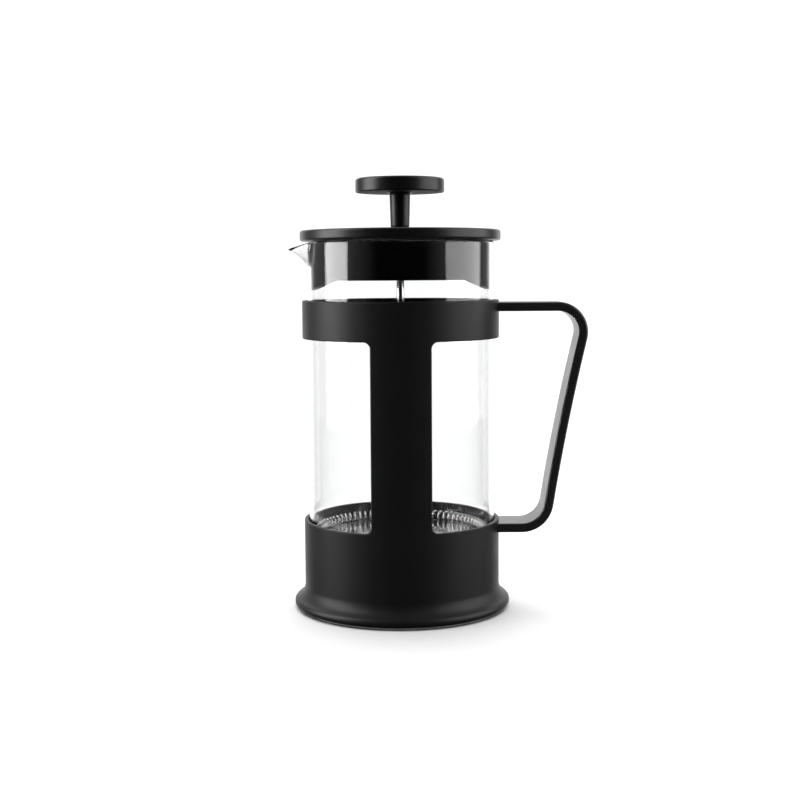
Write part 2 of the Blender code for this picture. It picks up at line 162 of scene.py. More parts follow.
# Room in reflections: each part as a direction's first and full share, and its brightness at both
ROOM_UP = (0.0, 0.643, 0.766)  # the middle of the bright part above, behind the object
ROOM_BEHIND = (0.64, 0.88, 0.01, 1.4)
ROOM_ABOVE = (0.72, 0.88, 0.0, 1.6)
ROOM_BESIDE = (0.40, 0.95, 0.0, 0.2)
BACKDROP = 1.16

# Camera
LENS = 60.3
CAMERA_PLACE = (-0.00014, -0.6903, 0.1735)
CAMERA_DOWN = math.radians(5.5)
CAMERA_ROLL = math.radians(0.35)


# ---------------------------------------------------------------- shapes

def arc(centre_r, centre_z, radius, start, end, steps):
    """Points on an arc from one angle to another, in degrees, both ends included."""
    angles = [math.radians(start + (end - start) * i / steps) for i in range(steps + 1)]
    return [(centre_r + radius * math.cos(a), centre_z + radius * math.sin(a)) for a in angles]


def rounded(corners, radii, steps=4):
    """A closed outline of (r, z) corners with each corner rounded to its radius."""
    outline = []
    count = len(corners)
    for i, (corner, radius) in enumerate(zip(corners, radii)):
        here = Vector(corner)
        before = Vector(corners[i - 1]) - here
        after = Vector(corners[(i + 1) % count]) - here
        half = 0.5 * before.angle(after)
        back = radius / math.tan(half)
        start = here + back * before.normalized()
        end = here + back * after.normalized()
        inward = (before.normalized() + after.normalized()).normalized()
        centre = here + inward * radius / math.sin(half)
        first = math.atan2(start.y - centre.y, start.x - centre.x)
        sweep = math.remainder(math.atan2(end.y - centre.y, end.x - centre.x) - first, 2.0 * math.pi)
        outline += arc(*centre, radius, math.degrees(first), math.degrees(first + sweep), steps)
    return outline


def lathe(outline, segments, closed=True, knurl=None):
    """Spins an outline of (radius, height) about Z. knurl gives a new radius for each point."""
    shape = bmesh.new()
    rings = []
    for radius, height in outline:
        if radius < 1e-7:
            rings.append([shape.verts.new((0.0, 0.0, height))] * segments)
            continue
        ring = []
        for i in range(segments):
            angle = 2.0 * math.pi * i / segments
            r = knurl(radius, height, angle) if knurl else radius
            ring.append(shape.verts.new((r * math.cos(angle), r * math.sin(angle), height)))
        rings.append(ring)
    if closed:
        rings.append(rings[0])
    for low, high in zip(rings, rings[1:]):
        for i in range(segments):
            j = (i + 1) % segments
            corners = list(dict.fromkeys((low[i], low[j], high[j], high[i])))
            if len(corners) > 2:
                shape.faces.new(corners)
    return shape


def link(item):
    bpy.context.scene.collection.objects.link(item)


def piece(name, shape, material, body, node, sharp=40.0):
    """Turns a bmesh into a shown piece that rides on a body and stands for a CAD node."""
    bmesh.ops.recalc_face_normals(shape, faces=shape.faces)
    mesh = bpy.data.meshes.new(name)
    shape.to_mesh(mesh)
    shape.free()
    mesh.shade_smooth()
    mesh.set_sharp_from_angle(angle=math.radians(sharp))
    made = bpy.data.objects.new(name, mesh)
    link(made)
    mesh.materials.append(material)
    made.modifiers.new("even_normals", "WEIGHTED_NORMAL").keep_sharp = True
    register(made, body, node)
    return made


def register(made, body, node):
    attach(made, body)
    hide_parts(node)


def second_material(made, material, chosen):
    """Gives a second material to the faces that chosen(face) picks."""
    made.data.materials.append(material)
    for face in made.data.polygons:
        face.material_index = int(chosen(face))


def node_ring(node, radii, outer=None, steps=4):
    """Outline of a ring on the rod: a CAD node's height and width, with rounded corners."""
    low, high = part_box(node)
    outer = outer or high.x
    corners = [(BORE_R, low.z), (outer, low.z), (outer, high.z), (BORE_R, high.z)]
    return rounded(corners, radii, steps)


def prism(shape, corners, along):
    """Adds a prism to a bmesh: a flat outline pushed along a vector."""
    base = shape.faces.new([shape.verts.new(corner) for corner in corners])
    pushed = bmesh.ops.extrude_face_region(shape, geom=[base])["geom"]
    moved = [item for item in pushed if isinstance(item, bmesh.types.BMVert)]
    bmesh.ops.translate(shape, verts=moved, vec=along)


def carve(shape, cutter_shape):
    """Cuts one bmesh out of another and returns the result."""
    meshes = []
    for part in (shape, cutter_shape):
        bmesh.ops.recalc_face_normals(part, faces=part.faces)
        mesh = bpy.data.meshes.new("carve")
        part.to_mesh(mesh)
        part.free()
        meshes.append(mesh)
    body, cutter = (bpy.data.objects.new("carve", mesh) for mesh in meshes)
    for item in (body, cutter):
        link(item)
    boolean = body.modifiers.new("carve", "BOOLEAN")
    boolean.operation = "DIFFERENCE"
    boolean.solver = "EXACT"
    boolean.object = cutter
    carved = bmesh.new()
    carved.from_object(body, bpy.context.evaluated_depsgraph_get())
    for item, mesh in zip((body, cutter), meshes):
        bpy.data.objects.remove(item)
        bpy.data.meshes.remove(mesh)
    return carved


# ---------------------------------------------------------------- materials

class Finish:
    """A Principled material with short ways to add procedural detail."""

    def __init__(self, name, **values):
        self.material = bpy.data.materials.new(name)
        self.material.use_nodes = True
        self.tree = self.material.node_tree
        self.shader = self.tree.nodes["Principled BSDF"]
        self.place = self.node("ShaderNodeTexCoord").outputs["Object"]
        for socket, value in values.items():
            self.shader.inputs[socket.replace("_", " ")].default_value = value

    def node(self, kind, **inputs):
        made = self.tree.nodes.new(kind)
        for socket, value in inputs.items():
            target = made.inputs[socket.replace("_", " ")]
            if isinstance(value, bpy.types.NodeSocket):
                self.tree.links.new(value, target)
            else:
                target.default_value = value
        return made

    def noise(self, scale, detail=3.0, roughness=0.5, vector=None):
        return self.node(
            "ShaderNodeTexNoise", Vector=vector or self.place, Scale=scale, Detail=detail,
            Roughness=roughness,
        ).outputs["Fac"]

    def turned(self, across):
        """Coordinates of rings about Z: distance from the axis, height, and a little angle."""
        split = self.node("ShaderNodeSeparateXYZ", Vector=self.place)
        angle = self.tree.nodes.new("ShaderNodeMath")
        angle.operation = "ARCTAN2"
        self.tree.links.new(split.outputs["Y"], angle.inputs[0])
        self.tree.links.new(split.outputs["X"], angle.inputs[1])
        flat = self.node("ShaderNodeCombineXYZ", X=split.outputs["X"], Y=split.outputs["Y"])
        length = self.tree.nodes.new("ShaderNodeVectorMath")
        length.operation = "LENGTH"
        self.tree.links.new(flat.outputs["Vector"], length.inputs[0])
        rings = self.node(
            "ShaderNodeCombineXYZ", X=length.outputs["Value"], Y=split.outputs["Z"],
            Z=angle.outputs["Value"],
        )
        return self.node(
            "ShaderNodeMapping", Vector=rings.outputs["Vector"], Scale=(across, across, 2.0)
        ).outputs["Vector"]

    def ramp(self, noise, low, high):
        """Maps the middle of a noise's range to values between low and high."""
        return self.node(
            "ShaderNodeMapRange", Value=noise, From_Min=0.3, From_Max=0.7, To_Min=low, To_Max=high
        ).outputs["Result"]

    def tint(self, factor, first, second):
        mix = self.tree.nodes.new("ShaderNodeMix")
        mix.data_type = "RGBA"
        self.tree.links.new(factor, mix.inputs["Factor"])
        mix.inputs[6].default_value = (*first, 1.0)
        mix.inputs[7].default_value = (*second, 1.0)
        self.set("Base Color", mix.outputs[2])

    def set(self, socket, value):
        self.tree.links.new(value, self.shader.inputs[socket])

    def bump(self, height, strength, distance):
        made = self.node("ShaderNodeBump", Height=height, Strength=strength, Distance=distance)
        self.set("Normal", made.outputs["Normal"])


def plastic(name, shade, rough, grain, grain_size, ior):
    """Moulded black plastic: fine grain, soft patches of gloss and hardly any change of colour.

    grain is the strength of the bumps and grain_size their width in metres.
    """
    made = Finish(name, IOR=ior)
    cloud = made.noise(38.0, 4.0)
    made.tint(cloud, [c * 0.8 for c in shade], [c * 1.25 for c in shade])
    speck = made.noise(1.0 / grain_size, 2.0)
    made.set("Roughness", made.ramp(made.noise(90.0, 5.0, 0.6), rough[0], rough[1]))
    made.bump(speck, grain, 0.00002)
    return made.material


def glass_finish():
    made = Finish("borosilicate_glass", IOR=1.47)
    made.shader.inputs["Transmission Weight"].default_value = 1.0
    smear = made.noise(45.0, 4.0, 0.55)
    made.tint(smear, (0.985, 0.992, 0.990), (1.0, 1.0, 1.0))
    made.set("Roughness", made.ramp(smear, 0.0, 0.012))
    made.bump(made.noise(22.0, 1.0), 0.08, 0.0002)
    return made.material


def metal(name, dark, light, rough, across, strength=0.25):
    """Turned metal with fine rings and soft smudges. across is the number of rings to a metre."""
    made = Finish(name, Metallic=1.0)
    rings = made.noise(1.0, 3.0, 0.6, made.turned(across))
    smudge = made.noise(120.0, 4.0, 0.6)
    made.tint(smudge, dark, light)
    made.set("Roughness", made.ramp(rings, rough[0], rough[1]))
    made.bump(rings, strength, 0.00001)
    return made.material


def woven_finish():
    """Fine woven steel: two crossed waves raise the wires, and painted shade darkens the holes between
    them.
    """
    made = Finish("woven_steel", Metallic=1.0, Roughness=0.32)
    waves = []
    for direction in ("X", "Y"):
        wave = made.node("ShaderNodeTexWave", Vector=made.place, Scale=700.0)
        wave.bands_direction = direction
        waves.append(wave.outputs["Fac"])
    weave = made.tree.nodes.new("ShaderNodeMath")
    weave.operation = "MAXIMUM"
    for index, wave in enumerate(waves):
        made.tree.links.new(wave, weave.inputs[index])
    # The dark colour is painted shade in the holes between the wires; the light colour is the wires'
    # steel.
    made.tint(weave.outputs["Value"], (0.05, 0.05, 0.05), (0.66, 0.66, 0.67))
    made.set("Roughness", made.ramp(made.noise(300.0), 0.26, 0.40))
    made.bump(weave.outputs["Value"], 0.6, 0.00008)
    return made.material


MATTE = plastic("matte_black_plastic", (0.0046, 0.0047, 0.0049), (0.42, 0.49), 0.35, 0.0005, 1.36)
GLOSS = plastic("gloss_black_plastic", (0.0022, 0.0022, 0.0023), (0.30, 0.37), 0.15, 0.0007, 1.42)
SLEEK = plastic("polished_black_plastic", (0.0020, 0.0021, 0.0021), (0.18, 0.25), 0.05, 0.0007, 1.19)
GRIP = plastic("handle_black_plastic", (0.0115, 0.0115, 0.0118), (0.27, 0.34), 0.22, 0.0006, 1.50)
# Painted shade: a copy of the black plastic that reflects less, is rougher and is darker than the
# frame's plastic. It goes on the frame's inward faces and the underside of the knob's disc.
SHADED_INSIDE = plastic("inner_black_plastic_painted_shade", (0.0030, 0.0031, 0.0032), (0.55, 0.62), 0.35, 0.0005, 1.25)
GLASS = glass_finish()
STEEL = metal("stainless_steel", (0.60, 0.60, 0.61), (0.72, 0.72, 0.73), (0.16, 0.30), 5200.0)
POLISHED = metal("polished_steel", (0.74, 0.74, 0.75), (0.84, 0.84, 0.85), (0.07, 0.15), 3800.0, 0.15)
DRAWN = metal("drawn_steel", (0.62, 0.62, 0.63), (0.72, 0.72, 0.73), (0.10, 0.17), 900.0, 0.04)
WIRE = metal("spring_steel", (0.68, 0.68, 0.68), (0.84, 0.84, 0.84), (0.12, 0.22), 2600.0)
BRASS = metal("brass", (0.70, 0.52, 0.24), (0.83, 0.65, 0.34), (0.22, 0.36), 4200.0)
WOVEN = woven_finish()


# ---------------------------------------------------------------- frame

def window_edge(inset, radius):
    """The quarter window's edge, moved into the plastic by an inset: (angle from -Y, height) points."""
    side_steps, corner_steps, edge_steps = 30, 10, 4
    centre_x = STRUT_HALF_WIDTH + WINDOW_CORNER_R
    corner_r = WINDOW_CORNER_R + inset
    start = math.asin(centre_x / radius)
    upper_z = BAND_BOTTOM_Z - WINDOW_CORNER_R
    lower_z = CUP_RIM_Z + WINDOW_CORNER_R
    side = [start + (0.5 * math.pi - start) * i / side_steps for i in range(side_steps, 0, -1)]
    edge = [(angle, BAND_BOTTOM_Z + inset) for angle in side]
    for x, z in arc(centre_x, upper_z, corner_r, 90.0, 180.0, corner_steps):
        edge.append((math.asin(x / radius), z))
    strut = math.asin((STRUT_HALF_WIDTH - inset) / radius)
    for i in range(1, edge_steps):
        edge.append((strut, upper_z + (lower_z - upper_z) * i / edge_steps))
    for x, z in arc(centre_x, lower_z, corner_r, 180.0, 270.0, corner_steps):
        edge.append((math.asin(x / radius), z))
    edge += [(angle, CUP_RIM_Z - inset) for angle in reversed(side)]
    first_strut = side_steps + corner_steps
    return edge, first_strut, first_strut + edge_steps


def frame_wall(shape, radius, base):
    """A quarter of the outer or inner wall with what continues it down to the axis.

    Returns the loops of vertices along the window's edge and along the band's top.
    """
    def vert(angle, r, z):
        return shape.verts.new((r * math.sin(angle), -r * math.cos(angle), z))

    edge, strut_start, strut_end = window_edge(FRAME_EDGE, radius)
    window = [vert(angle, radius, z) for angle, z in edge]
    top_z = BAND_TOP_Z - FRAME_EDGE
    strut_columns = 8
    strut_angle = edge[strut_start][0]
    inner_angles = [strut_angle * i / strut_columns for i in range(strut_columns)]
    heights = [z for _, z in edge[strut_start:strut_end + 1]]
    columns = [[vert(angle, radius, z) for z in heights] for angle in inner_angles]
    columns.append(window[strut_start:strut_end + 1])
    top_angles = inner_angles + [edge[i][0] for i in range(strut_start, -1, -1)]
    top = [vert(angle, radius, top_z) for angle in top_angles]
    foot_angles = inner_angles + [edge[i][0] for i in range(strut_end, len(edge))]
    for left, right in zip(columns, columns[1:]):
        for i in range(len(heights) - 1):
            shape.faces.new((left[i], right[i], right[i + 1], left[i + 1]))
    upper = [column[0] for column in columns[:-1]] + window[strut_start::-1]
    for i in range(len(top) - 1):
        shape.faces.new((upper[i], upper[i + 1], top[i + 1], top[i]))
    above = [column[-1] for column in columns[:-1]] + window[strut_end:]
    for r, z in base:
        if r < 1e-7:
            below = [shape.verts.new((0.0, 0.0, z))] * len(foot_angles)
        else:
            below = [vert(angle, r, z) for angle in foot_angles]
        for i in range(len(foot_angles) - 1):
            corners = list(dict.fromkeys((above[i], above[i + 1], below[i + 1], below[i])))
            shape.faces.new(corners)
        above = below
    return window, top, top_angles


def join_edges(shape, first, last, rings):
    """Fills between two loops of vertices through rings of points."""
    loops = [first] + [[shape.verts.new(point) for point in ring] for ring in rings] + [last]
    for near, far in zip(loops, loops[1:]):
        for i in range(len(near) - 1):
            shape.faces.new((near[i], near[i + 1], far[i + 1], far[i]))


def edge_rounding():
    """(inset, radius) pairs that carry a rounded edge from the outer wall to the inner one."""
    steps = 4
    turns = [math.radians(90.0 * i / steps) for i in range(1, steps + 1)]
    outer = [
        (FRAME_EDGE * (1.0 - math.sin(a)), FRAME_R - FRAME_EDGE * (1.0 - math.cos(a))) for a in turns
    ]
    return outer + [(inset, FRAME_R + FRAME_INNER_R - r) for inset, r in reversed(outer)]


def make_frame():
    foot = [
        *reversed(arc(FRAME_R + FLARE_FILLET_R, FLARE_TOP_Z, FLARE_FILLET_R,
                      180.0 + FLARE_SLOPE, 180.0, 8)),
        *reversed(arc(FOOT_R - FOOT_LIP_R, FOOT_LIP_Z, FOOT_LIP_R, -50.0, FLARE_SLOPE, 14)),
        (FOOT_REST_R, 0.0),
        *reversed(UNDERSIDE),
    ]
    corner_r = FRAME_INNER_R - FLOOR_FILLET
    floor = [
        *arc(corner_r, FRAME_FLOOR + FLOOR_FILLET, FLOOR_FILLET, 0.0, -90.0, 6),
        (0.0, FRAME_FLOOR),
    ]
    shape = bmesh.new()
    outer_window, outer_top, outer_angles = frame_wall(shape, FRAME_R, foot)
    inner_window, inner_top, inner_angles = frame_wall(shape, FRAME_INNER_R, floor)
    around, over = [], []
    for inset, radius in edge_rounding():
        edge = window_edge(inset, radius)[0]
        around.append([(radius * math.sin(a), -radius * math.cos(a), z) for a, z in edge])
        share = (FRAME_R - radius) / (FRAME_R - FRAME_INNER_R)
        angles = [a + (b - a) * share for a, b in zip(outer_angles, inner_angles)]
        top_z = BAND_TOP_Z - inset
        over.append([(radius * math.sin(a), -radius * math.cos(a), top_z) for a in angles])
    join_edges(shape, outer_window, inner_window, around)
    join_edges(shape, outer_top, inner_top, over)
    for axis in ("X", "Y"):
        bmesh.ops.mirror(
            shape, geom=shape.verts[:] + shape.edges[:] + shape.faces[:],
            matrix=Matrix.Identity(4), merge_dist=1e-6, axis=axis,
        )
    bmesh.ops.remove_doubles(shape, verts=shape.verts, dist=1e-6)
    shell = piece("frame_shell", shape, MATTE, "frame", "frame", sharp=50.0)

    # The frame's inward faces take the painted-shade copy of the plastic.
    def inner(face):
        place = face.center.xy
        faces_in = place.dot(face.normal.xy) < -0.5 * place.length
        return faces_in and place.length < FRAME_INNER_R + FRAME_EDGE

    second_material(shell, SHADED_INSIDE, inner)


# ---------------------------------------------------------------- handle

def walk(start, runs):
    """Follows arcs: each run is its length, its clockwise turn and its steps. Gives (x, z, heading)."""
    x, z = start
    heading = 0.0
    path = [(x, z, heading)]
    for length, turn, steps in runs:
        half = 0.5 * turn / steps
        chord = length / steps * (math.sin(half) / half if half else 1.0)
        for _ in range(steps):
            x += chord * math.cos(heading + half)
            z -= chord * math.sin(heading + half)
            heading += 2.0 * half
            path.append((x, z, heading))
    return path


def handle_path():
    """Centre line of the strip: upper arm, bend, slightly bowed grip, bend, lower arm."""
    start_x = FRAME_R - SEAT_DEPTH
    bend_start_x = HANDLE_REACH - 0.5 * STRIP_THICKNESS - UPPER_BEND_R
    upper_turn = 0.5 * math.pi + LEAN_TOP
    lower_turn = 0.5 * math.pi - LEAN_BOTTOM
    upper_drop = UPPER_BEND_R * (1.0 + math.sin(LEAN_TOP))
    lower_drop = LOWER_BEND_R * (1.0 - math.sin(LEAN_BOTTOM))
    grip_drop = UPPER_ARM_Z - LOWER_ARM_Z - upper_drop - lower_drop
    grip_r = grip_drop / (math.sin(LEAN_TOP) - math.sin(LEAN_BOTTOM))
    grip_inset = grip_r * (math.cos(LEAN_BOTTOM) - math.cos(LEAN_TOP))
    bend_end_x = bend_start_x + UPPER_BEND_R * math.cos(LEAN_TOP)
    lower_arm = bend_end_x - grip_inset - LOWER_BEND_R * math.cos(LEAN_BOTTOM) - start_x
    return walk((start_x, UPPER_ARM_Z), (
        (bend_start_x - start_x, 0.0, 6),
        (UPPER_BEND_R * upper_turn, upper_turn, 28),
        (grip_r * (LEAN_TOP - LEAN_BOTTOM), LEAN_BOTTOM - LEAN_TOP, 24),
        (LOWER_BEND_R * lower_turn, lower_turn, 24),
        (lower_arm, 0.0, 6),
    ))


def make_handle():
    half_width, half_thick = 0.5 * STRIP_WIDTH, 0.5 * STRIP_THICKNESS
    corners = (
        (-half_width, -half_thick), (half_width, -half_thick),
        (half_width, half_thick), (-half_width, half_thick),
    )
    section = rounded(corners, [STRIP_EDGE] * 4, steps=5)
    path = handle_path()
    shape = bmesh.new()
    rings = []
    seat_r = FRAME_R - SEAT_DEPTH
    for index, (x, z, heading) in enumerate(path):
        ring = []
        for across, out in section:
            px = x + out * math.sin(heading)
            pz = z + out * math.cos(heading)
            if index in (0, len(path) - 1):
                px = math.sqrt(seat_r ** 2 - across ** 2)
            ring.append(shape.verts.new((px, across, pz)))
        rings.append(ring)
    count = len(section)
    for near, far in zip(rings, rings[1:]):
        for i in range(count):
            j = (i + 1) % count
            shape.faces.new((near[i], near[j], far[j], far[i]))
    shape.faces.new(rings[0])
    shape.faces.new(rings[-1])
    piece("handle_strip", shape, GRIP, "frame", "handle")


# ---------------------------------------------------------------- beaker

def pull_spout(shape):
    """Draws the rim out and down into a pouring spout at -X."""
    for vert in shape.verts:
        off_axis = abs(math.atan2(vert.co.y, -vert.co.x)) / SPOUT_HALF_ANGLE
        rise = (vert.co.z - SPOUT_ROOT_Z) / (BEAKER_RIM_Z - SPOUT_ROOT_Z)
        if off_axis >= 1.0 or rise <= 0.0:
            continue
        pull = math.cos(0.5 * math.pi * off_axis) ** 2 * rise ** 1.2
        outward = Vector((vert.co.x, vert.co.y, 0.0)).normalized()
        vert.co += pull * (SPOUT_REACH * outward - Vector((0.0, 0.0, SPOUT_DROP)))


def make_beaker():
    inner_r = BEAKER_R - BEAKER_WALL
    inner_corner = BEAKER_CORNER_R - BEAKER_WALL
    rim_r = 0.5 * BEAKER_WALL
    spout_steps = 22
    levels = [SPOUT_ROOT_Z + (BEAKER_RIM_Z - rim_r - SPOUT_ROOT_Z) * i / spout_steps
              for i in range(spout_steps)]
    floor_z = BEAKER_BOTTOM_Z + BEAKER_FLOOR
    outline = [
        (0.0, BEAKER_BOTTOM_Z),
        *arc(BEAKER_R - BEAKER_CORNER_R, BEAKER_BOTTOM_Z + BEAKER_CORNER_R,
             BEAKER_CORNER_R, -90.0, 0.0, 14),
        *[(BEAKER_R, z) for z in levels],
        *arc(BEAKER_R - rim_r, BEAKER_RIM_Z - rim_r, rim_r, 0.0, 180.0, 10),
        *[(inner_r, z) for z in reversed(levels)],
        *arc(inner_r - inner_corner, floor_z + inner_corner, inner_corner, 0.0, -90.0, 12),
        (0.0, floor_z),
    ]
    shape = lathe(outline, 240, closed=False)
    pull_spout(shape)
    piece("beaker_glass_wall", shape, GLASS, "beaker", "beaker", sharp=70.0)


# ---------------------------------------------------------------- lid

def make_lid_cover():
    bore = 0.0043
    boss_r, boss_depth = 0.0085, 0.0085
    under_skin = LID_TOP_Z - LID_SKIN
    rim_bottom = LID_TOP_Z - LID_RIM_DEPTH
    corners = [
        (bore, LID_TOP_Z), (bore, LID_TOP_Z - boss_depth), (boss_r, LID_TOP_Z - boss_depth),
        (boss_r, under_skin), (LID_R - LID_RIM_WALL, under_skin), (LID_R - LID_RIM_WALL, rim_bottom),
        (LID_R, rim_bottom), (LID_R, LID_TOP_Z),
    ]
    radii = [0.0003, 0.0003, 0.0006, 0.0009, 0.0008, 0.0003, LID_EDGE, LID_EDGE]
    shape = lathe(rounded(corners, radii, steps=6), 192)
    piece("lid_dish", shape, GLOSS, "lid", "lid_cover")


def slot_cutter():
    """Upright round-ended slots through the wall that faces the spout."""
    shape = bmesh.new()
    half = 0.5 * SLOT_WIDTH
    ends = arc(0.0, SLOT_Z[1] - half, half, 0.0, 180.0, 8)
    ends += arc(0.0, SLOT_Z[0] + half, half, 180.0, 360.0, 8)
    near, depth = STRAINER_R - 2.0 * STRAINER_WALL, 3.0 * STRAINER_WALL
    for index in range(SLOT_COUNT):
        angle = math.pi + (index - 0.5 * (SLOT_COUNT - 1)) * SLOT_PITCH
        outward = Vector((math.cos(angle), math.sin(angle), 0.0))
        across = Vector((-outward.y, outward.x, 0.0))
        corners = [near * outward + s * across + Vector((0.0, 0.0, z)) for s, z in ends]
        prism(shape, corners, depth * outward)
    return shape


def make_strainer():
    inner = STRAINER_R - STRAINER_WALL
    flange_z = STRAINER_TOP_Z - FLANGE
    corners = [
        (inner, STRAINER_BOTTOM_Z), (STRAINER_R, STRAINER_BOTTOM_Z), (STRAINER_R, flange_z),
        (FLANGE_R, flange_z), (FLANGE_R, STRAINER_TOP_Z), (inner, STRAINER_TOP_Z),
    ]
    radii = [0.0005, 0.0005, 0.0006, FLANGE_CORNER_R, FLANGE_CORNER_R, FLANGE_CORNER_R]
    shape = lathe(rounded(corners, radii), 288)
    inner_x, outer_x = STRAINER_STEP_X
    for vert in shape.verts:
        if vert.co.z > STRAINER_BOTTOM_Z + 0.001:
            continue
        share = (outer_x - abs(vert.co.x)) / (outer_x - inner_x)
        share = min(max(share, 0.0), 1.0)
        vert.co.z += STRAINER_FRONT_RISE * share
    shape = carve(shape, slot_cutter())
    skirt = piece(
        "strainer_skirt", shape, SLEEK, "lid", "lid_strainer", sharp=35.0
    )
    second_material(skirt, GLOSS, lambda face: face.center.z > flange_z - FLANGE_CORNER_R)


def make_guide():
    low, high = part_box("rod_guide")
    flange, barrel = high.x, 0.0040
    step = low.z + 0.0014
    corners = [
        (BORE_R, low.z), (flange, low.z), (flange, step), (barrel, step), (barrel, high.z),
        (BORE_R, high.z),
    ]
    outline = rounded(corners, [0.0003, 0.0004, 0.0003, 0.0003, 0.0004, 0.0004])
    piece("guide_bush", lathe(outline, 64), MATTE, "rod_guide", "rod_guide")


# ---------------------------------------------------------------- plunger

def make_knob():
    disc_bottom = KNOB_TOP_Z - KNOB_DISC
    under_edge_z = disc_bottom + KNOB_UNDER_EDGE
    hole_top = KNOB_TOP_Z - 0.0087
    neck = 0.0015
    outline = [
        (0.0, hole_top),
        (BORE_R, hole_top),
        (BORE_R, KNOB_BOTTOM_Z),
        *arc(STEM_BOTTOM_R - STEM_END_R, KNOB_BOTTOM_Z + STEM_END_R, STEM_END_R, -90.0, 0.0, 8),
        (STEM_TOP_R, disc_bottom - neck),
        *reversed(arc(STEM_TOP_R + neck, disc_bottom - neck, neck, 90.0, 180.0, 6)),
        *arc(KNOB_R - KNOB_UNDER_EDGE, under_edge_z, KNOB_UNDER_EDGE, -90.0, 0.0, 8),
        *arc(KNOB_R - KNOB_EDGE, KNOB_TOP_Z - KNOB_EDGE, KNOB_EDGE, 0.0, 90.0, 8),
        (0.0, KNOB_TOP_Z),
    ]
    shape = lathe(outline, 128, closed=False)
    knob = piece("knob_disc", shape, GLOSS, "plunger", "knob")

    # The downward faces under the knob's disc take the painted-shade copy of the plastic.
    def shaded_under_disc(face):
        return face.normal.z < -0.95 and face.center.z > disc_bottom - 0.0005

    second_material(knob, SHADED_INSIDE, shaded_under_disc)


def make_insert():
    """Two knurled bands with a plain one between them."""
    low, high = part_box("knob_insert")
    middle = 0.5 * (low.z + high.z)
    plain, step, chamfer = 0.0007, 0.0008, 0.0003

    def knurl(radius, height, angle):
        crest = 0.0002 * abs(math.sin(12.0 * angle))
        grooved = radius > 0.003 and abs(height - middle) > step
        return radius - (crest if grooved else 0.0)

    heights = [low.z, low.z + chamfer, middle - step, middle - plain, middle + plain,
               middle + step, high.z - chamfer, high.z]
    outline = [(high.x, z) for z in heights] + [(BORE_R, high.z), (BORE_R, low.z)]
    shape = lathe(outline, 96, knurl=knurl)
    piece("insert_barrel", shape, BRASS, "plunger", "knob_insert")


def make_rod():
    low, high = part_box("plunger_rod")
    chamfer, thread_depth = 0.0005, 0.00015
    thread_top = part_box("cross_plate")[0].z
    thread = []
    crests = 24
    for i in range(crests):
        z = low.z + chamfer + (thread_top - low.z - chamfer) * i / crests
        thread.append((ROD_R - (thread_depth if i % 2 else 0.0), z))
    outline = [(0.0, low.z), (ROD_R - chamfer, low.z), *thread, (ROD_R, thread_top),
               (ROD_R, high.z - chamfer), (ROD_R - chamfer, high.z), (0.0, high.z)]
    shape = lathe(outline, 64, closed=False)
    piece("rod_steel", shape, DRAWN, "plunger", "plunger_rod")


def make_collar():
    outline = node_ring("rod_collar", [0.0003, 0.0003, 0.0007, 0.0005])
    piece("collar_ring", lathe(outline, 64), STEEL, "plunger", "rod_collar")


def ring_cutter(ring_r, count, sides, node, phase=0.0):
    """Prisms on a ring about Z, through a flat CAD node and a little past it on both sides.

    sides is the outline of one of them, as (outward, across) points.
    """
    spare = 0.001
    low, high = (corner.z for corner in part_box(node))
    low, high = low - spare, high + spare
    shape = bmesh.new()
    for index in range(count):
        turn = Matrix.Rotation(2.0 * math.pi * (index + phase) / count, 4, "Z")
        corners = [turn @ Vector((ring_r + out, across, low)) for out, across in sides]
        prism(shape, corners, (0.0, 0.0, high - low))
    return shape


def make_spiral_plate():
    low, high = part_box("spiral_plate")
    rings = (BORE_R, 0.0080, 0.0095, 0.0400)
    outline = [
        *[(radius, low.z) for radius in rings],
        (PLATE_R, low.z),
        *arc(PLATE_R - PLATE_EDGE_R, 0.5 * (low.z + high.z), PLATE_EDGE_R, -60.0, 60.0, 4),
        (PLATE_R - PLATE_EDGE_R, high.z),
        *[(radius, high.z) for radius in reversed(rings)],
    ]
    shape = lathe(outline, 240)
    hole = arc(0.0, 0.0, PLATE_HOLE_R, 0.0, 345.0, 23)
    shape = carve(shape, ring_cutter(PLATE_HOLE_RING_R, PLATE_HOLES, hole, "spiral_plate"))
    along, across = (0.5 * size for size in PLATE_SLOT)
    corners = ((-along, -across), (along, -across), (along, across), (-along, across))
    slot = rounded(corners, [PLATE_SLOT_CORNER_R] * 4, steps=2)
    shape = carve(shape, ring_cutter(PLATE_SLOT_RING_R, SPRING_TURNS, slot, "spiral_plate", 0.5))
    piece("spiral_disc", shape, POLISHED, "plunger", "spiral_plate")


def make_spring():
    """The coil spring: a wire wound round a ring, turn beside turn."""
    low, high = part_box("spring_coil")
    centre_z = 0.5 * (low.z + high.z)
    centre_r = SPRING_R - SPRING_TUBE_R
    coil_r = SPRING_TUBE_R - WIRE_R
    per_turn = 20
    count = SPRING_TURNS * per_turn
    curve = bpy.data.curves.new("spring_wire", "CURVE")
    curve.dimensions = "3D"
    curve.bevel_depth = WIRE_R
    curve.bevel_resolution = 2
    line = curve.splines.new("POLY")
    line.points.add(count - 1)
    line.use_cyclic_u = True
    line.use_smooth = True
    for i, point in enumerate(line.points):
        around = 2.0 * math.pi * i / count
        turn = 2.0 * math.pi * i / per_turn
        radius = centre_r + coil_r * math.cos(turn)
        height = centre_z + coil_r * math.sin(turn)
        point.co = (radius * math.cos(around), radius * math.sin(around), height, 1.0)
    wire = bpy.data.objects.new("spring_wire", curve)
    link(wire)
    curve.materials.append(WIRE)
    register(wire, "plunger", "spring_coil")


def make_mesh():
    outline = node_ring("filter_mesh", [0.0001, 0.00028, 0.00028, 0.0001])
    piece("mesh_disc", lathe(outline, 192), WOVEN, "plunger", "filter_mesh")


